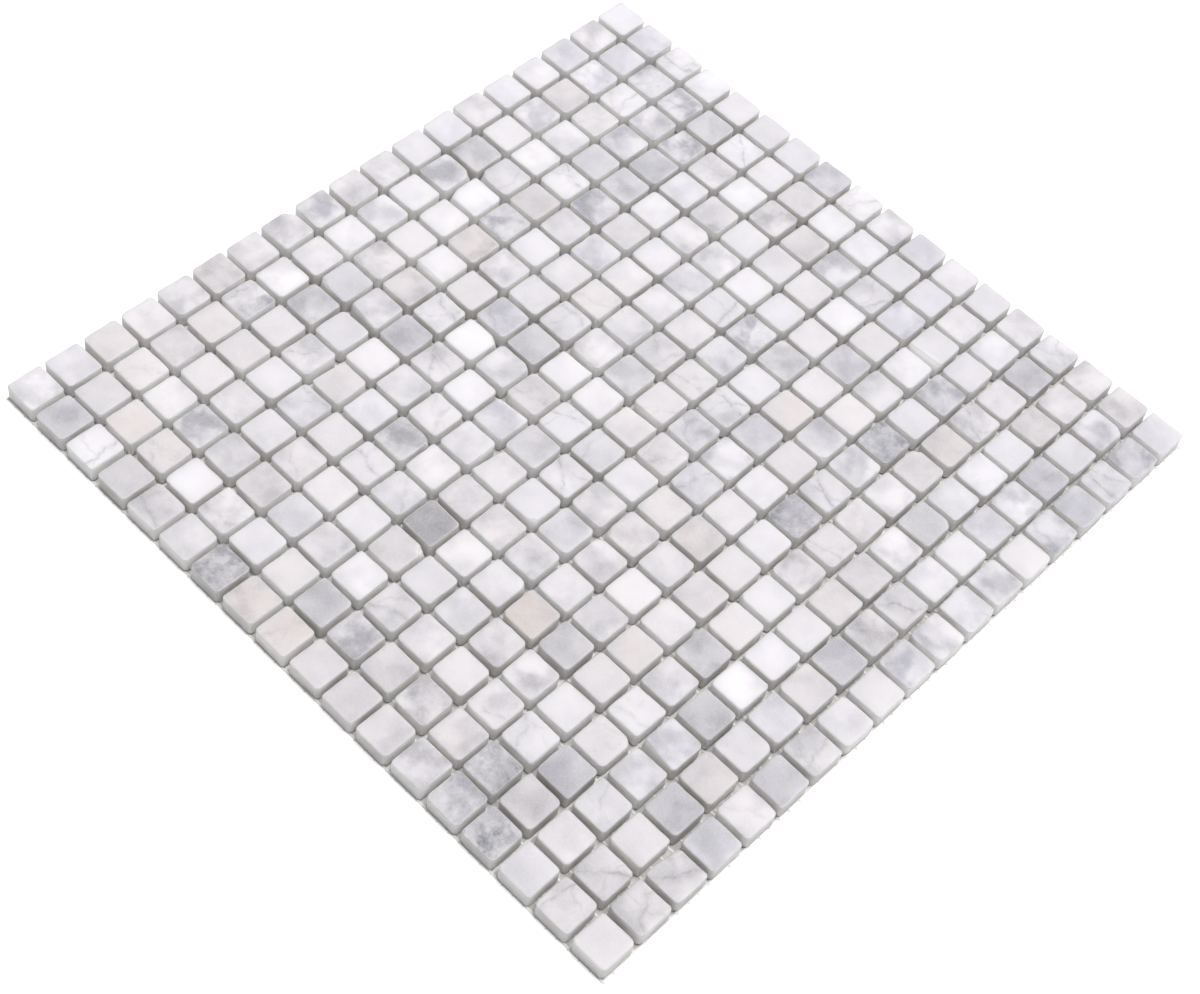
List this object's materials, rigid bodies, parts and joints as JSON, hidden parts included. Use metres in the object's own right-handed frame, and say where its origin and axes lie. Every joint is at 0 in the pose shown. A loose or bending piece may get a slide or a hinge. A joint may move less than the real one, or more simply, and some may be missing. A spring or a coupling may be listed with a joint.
{
  "type": "mosaic tile sheet",
  "caption": "Flat sheet of square tumbled white marble mosaic chips, set in a straight grid with open joints and held together by a glass-fibre net on the back.",
  "frame": {"origin": "centre of the sheet's underside, where the net lies on the floor", "axes": "+X along a row of chips, +Y along a column of chips, which is the sheet's longer side, +Z out of the face"},
  "size_m": [0.305, 0.322, 0.008],
  "materials": {
    "white_marble": "tumbled, matt, softly clouded and veined in grey",
    "glass_fibre_net": "open woven glass fibre, soaked with whitish adhesive"
  },
  "bodies": {
    "root": {"net_warp_strands": "glass_fibre_net", "net_weft_strands": "glass_fibre_net", "chip_row_01": "white_marble", "chip_row_02": "white_marble", "chip_row_03": "white_marble", "chip_row_04": "white_marble", "chip_row_05": "white_marble", "chip_row_06": "white_marble", "chip_row_07": "white_marble", "chip_row_08": "white_marble", "chip_row_09": "white_marble", "chip_row_10": "white_marble", "chip_row_11": "white_marble", "chip_row_12": "white_marble", "chip_row_13": "white_marble", "chip_row_14": "white_marble", "chip_row_15": "white_marble", "chip_row_16": "white_marble", "chip_row_17": "white_marble", "chip_row_18": "white_marble", "chip_row_19": "white_marble"}
  },
  "joints": []
}
